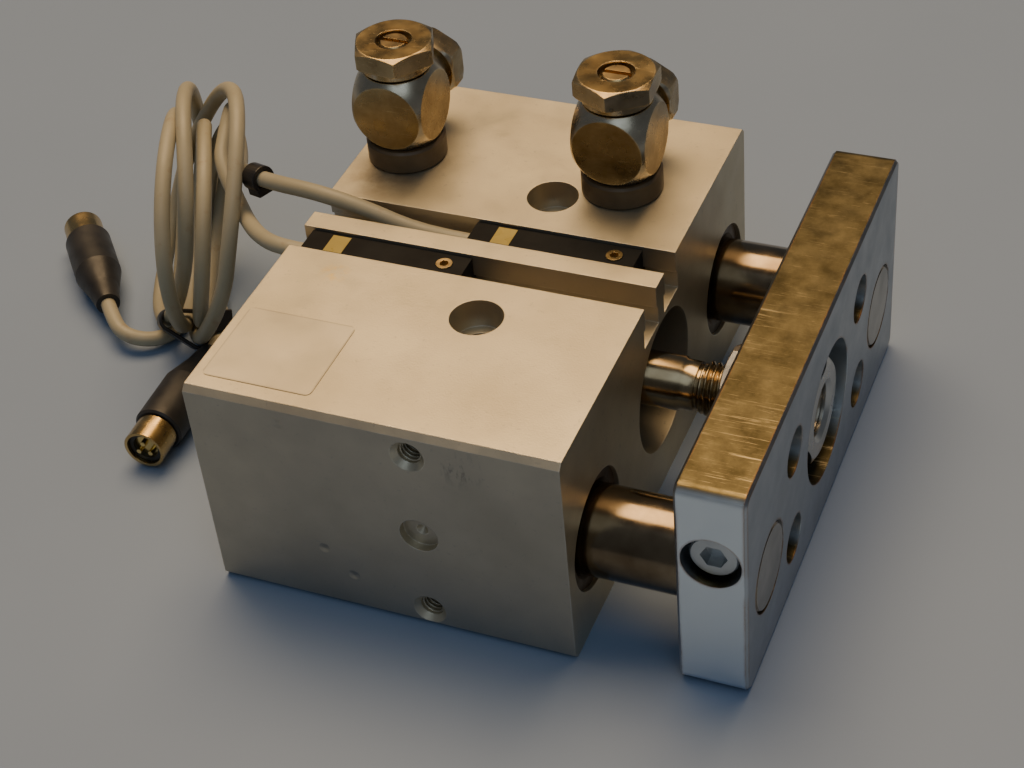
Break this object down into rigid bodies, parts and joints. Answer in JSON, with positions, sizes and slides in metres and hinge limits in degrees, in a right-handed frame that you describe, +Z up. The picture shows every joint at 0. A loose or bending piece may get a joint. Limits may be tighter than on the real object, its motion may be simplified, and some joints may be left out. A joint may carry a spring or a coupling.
{
  "type": "guided pneumatic cylinder",
  "caption": "Compact guided pneumatic cylinder: block housing, yoke plate on two guide rods and a piston rod, swivelling flow control valves and slot sensors with coiled leads.",
  "frame": {"origin": "centre of the housing's flat underside", "axes": "+X the way the rod extends, +Y across the two guide rods towards the valves, +Z up out of the face that carries the valves and sensor slots"},
  "size_m": [0.1776, 0.098, 0.0697],
  "materials": {
    "anodised_block": "natural anodised, fine satin, slightly warm",
    "bush_bronze": "machined bearing bronze",
    "seal_rubber": "moulded black polyurethane and nitrile",
    "cap_aluminium": "turned, plain",
    "spring_steel": "phosphated, dark",
    "buffer_elastomer": "plain elastomer disc",
    "label_foil": "thin printed foil with no text",
    "yoke_steel": "ground steel, zinc plated, worn and scratched",
    "guide_steel": "hardened and ground",
    "clamp_steel": "zinc plated, dark in the recess",
    "rod_steel": "stainless, ground, threaded end",
    "zinc_steel": "zinc plated",
    "wear_ring_polymer": "natural polyacetal",
    "magnet_ferrite": "plastic bonded ferrite",
    "valve_seal_polymer": "black sealing washer",
    "valve_nickel": "nickel plated brass, worn through at the edges",
    "needle_brass": "turned brass",
    "sensor_housing": "moulded black",
    "sensor_window": "clear, over a pale light",
    "set_screw_steel": "brass coloured steel",
    "cable_jacket": "grey polyurethane jacket, warm",
    "tie_nylon": "black nylon",
    "plug_grip": "black overmould",
    "plug_brass": "gold coloured thread ring",
    "plug_contacts": "black insert with gilt pins"
  },
  "bodies": {
    "housing": {"housing": "anodised_block", "guide_bushes": "bush_bronze", "rod_bush": "bush_bronze", "guide_wipers": "seal_rubber", "cap_o_rings": "seal_rubber", "rod_seal": "seal_rubber", "front_cap": "cap_aluminium", "rear_cap": "cap_aluminium", "front_circlip": "spring_steel", "rear_circlip": "spring_steel", "front_buffer": "buffer_elastomer", "rear_buffer": "buffer_elastomer", "label": "label_foil", "valve_rear_seal": "valve_seal_polymer", "valve_front_seal": "valve_seal_polymer", "valve_rear_stem": "valve_nickel", "valve_front_stem": "valve_nickel", "sensor_near": "sensor_housing", "sensor_far": "sensor_housing", "sensor_windows": "sensor_window", "sensor_screws": "set_screw_steel", "cable_near": "cable_jacket", "cable_far": "cable_jacket", "plug_lead_near": "cable_jacket", "plug_lead_far": "cable_jacket", "cable_coil": "cable_jacket", "coil_tie": "tie_nylon", "lead_tie": "tie_nylon", "plug_body_near": "plug_grip", "plug_body_far": "plug_grip", "plug_insert_near": "plug_contacts", "plug_insert_far": "plug_contacts"},
    "carriage": {"yoke_plate": "yoke_steel", "guide_rod_near": "guide_steel", "guide_rod_far": "guide_steel", "clamp_sleeves": "clamp_steel", "clamp_screws": "clamp_steel", "piston_rod": "rod_steel", "jam_nut": "zinc_steel", "rod_nut": "zinc_steel", "piston": "cap_aluminium", "piston_seals": "seal_rubber", "piston_wear_ring": "wear_ring_polymer", "piston_magnet": "magnet_ferrite", "piston_screw": "clamp_steel"},
    "valve_rear": {"valve_rear_body": "valve_nickel", "valve_rear_union_nut": "valve_nickel", "valve_rear_nipple": "valve_nickel"},
    "needle_rear": {"valve_rear_needle": "needle_brass"},
    "valve_front": {"valve_front_body": "valve_nickel", "valve_front_union_nut": "valve_nickel", "valve_front_nipple": "valve_nickel"},
    "needle_front": {"valve_front_needle": "needle_brass"},
    "plug_ring_near": {"plug_sleeve_near": "plug_brass"},
    "plug_ring_far": {"plug_sleeve_far": "plug_brass"}
  },
  "joints": [
    {"name": "carriage_slide", "type": "slide", "parent": "housing", "child": "carriage", "axis": [1, 0, 0], "range_m": [-0.016, 0.004]},
    {"name": "valve_rear_swivel", "type": "hinge", "parent": "housing", "child": "valve_rear", "pos_m": [-0.0247, 0.0244, 0.0569], "axis": [0, 0, 1], "continuous": true},
    {"name": "needle_rear_screw", "type": "hinge", "parent": "housing", "child": "needle_rear", "pos_m": [-0.0247, 0.0244, 0.065], "axis": [0, 0, 1], "range_deg": [-360, 720]},
    {"name": "valve_front_swivel", "type": "hinge", "parent": "housing", "child": "valve_front", "pos_m": [0.0183, 0.0244, 0.0569], "axis": [0, 0, 1], "continuous": true},
    {"name": "needle_front_screw", "type": "hinge", "parent": "housing", "child": "needle_front", "pos_m": [0.0183, 0.0244, 0.065], "axis": [0, 0, 1], "range_deg": [-360, 720]},
    {"name": "plug_ring_near_turn", "type": "hinge", "parent": "housing", "child": "plug_ring_near", "pos_m": [-0.0916, 0.0094, 0.005], "axis": [-0.6561, 0.7547, 0], "continuous": true},
    {"name": "plug_ring_far_turn", "type": "hinge", "parent": "housing", "child": "plug_ring_far", "pos_m": [-0.0627, 0.001, 0.005], "axis": [0.0366, -0.9993, 0], "continuous": true}
  ]
}
